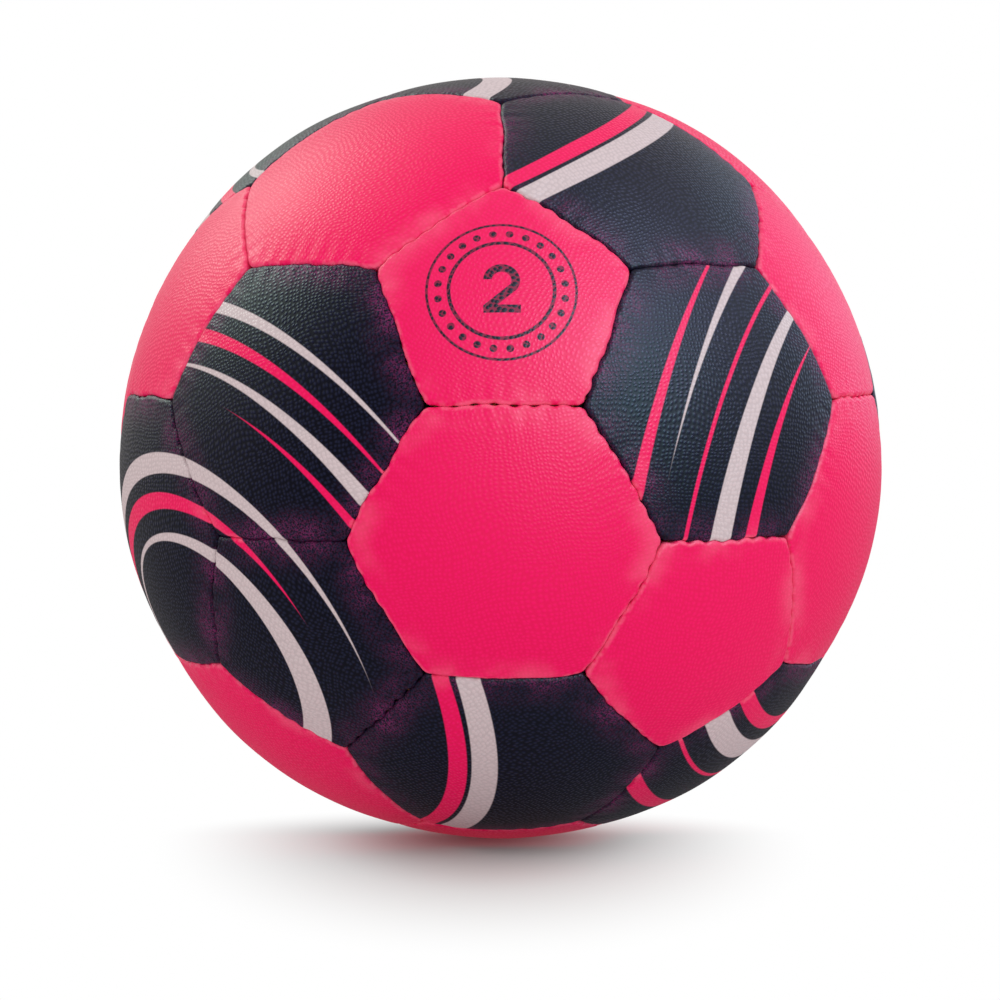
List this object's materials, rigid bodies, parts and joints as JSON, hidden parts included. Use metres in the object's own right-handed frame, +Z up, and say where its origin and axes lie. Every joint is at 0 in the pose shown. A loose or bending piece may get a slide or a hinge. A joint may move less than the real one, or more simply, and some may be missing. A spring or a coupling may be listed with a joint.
{
  "type": "handball",
  "caption": "Stitched handball of pentagon and hexagon panels in pink and navy synthetic leather, each with a foam pad and cloth lining, sewn over a rubber bladder with a needle valve.",
  "frame": {"origin": "the ball's centre", "axes": "+Z up through the middle of the top pentagon; -Y towards the front, the side that the picture shows; +X to its right"},
  "size_m": [0.1738, 0.1748, 0.1738],
  "materials": {
    "cover_pink": "satin",
    "cover_navy": "satin",
    "foam": "matte",
    "lining": "matte",
    "thread": "matte",
    "bladder_rubber": "matte",
    "valve_rubber": "matte",
    "patch": "matte"
  },
  "bodies": {
    "root": {"pentagon_top": "cover_navy", "pentagon_bottom": "cover_pink", "pentagon_upper_1": "cover_pink", "pentagon_upper_2": "cover_pink", "pentagon_upper_3": "cover_pink", "pentagon_upper_4": "cover_pink", "pentagon_upper_5": "cover_pink", "pentagon_lower_1": "cover_pink", "pentagon_lower_2": "cover_pink", "pentagon_lower_3": "cover_navy", "pentagon_lower_4": "cover_pink", "pentagon_lower_5": "cover_navy", "hexagon_top_1": "cover_navy", "hexagon_top_2": "cover_pink", "hexagon_top_3": "cover_navy", "hexagon_top_4": "cover_navy", "hexagon_top_5": "cover_pink", "hexagon_upper_1": "cover_navy", "hexagon_upper_2": "cover_navy", "hexagon_upper_3": "cover_pink", "hexagon_upper_4": "cover_pink", "hexagon_upper_5": "cover_navy", "hexagon_lower_1": "cover_pink", "hexagon_lower_2": "cover_pink", "hexagon_lower_3": "cover_navy", "hexagon_lower_4": "cover_navy", "hexagon_lower_5": "cover_navy", "hexagon_bottom_1": "cover_navy", "hexagon_bottom_2": "cover_navy", "hexagon_bottom_3": "cover_pink", "hexagon_bottom_4": "cover_navy", "hexagon_bottom_5": "cover_pink", "foam_pentagons": "foam", "foam_hexagons": "foam", "lining_pentagons": "lining", "lining_hexagons": "lining", "thread_pentagon_top": "thread", "thread_pentagon_upper": "thread", "thread_pentagon_lower": "thread", "thread_pentagon_bottom": "thread", "thread_hexagon_top": "thread", "thread_hexagon_upper": "thread", "thread_hexagon_lower": "thread", "thread_hexagon_bottom": "thread", "bladder": "bladder_rubber", "valve_stem": "valve_rubber", "valve_core": "valve_rubber", "valve_patch": "patch", "balance_patch": "patch"}
  },
  "joints": []
}
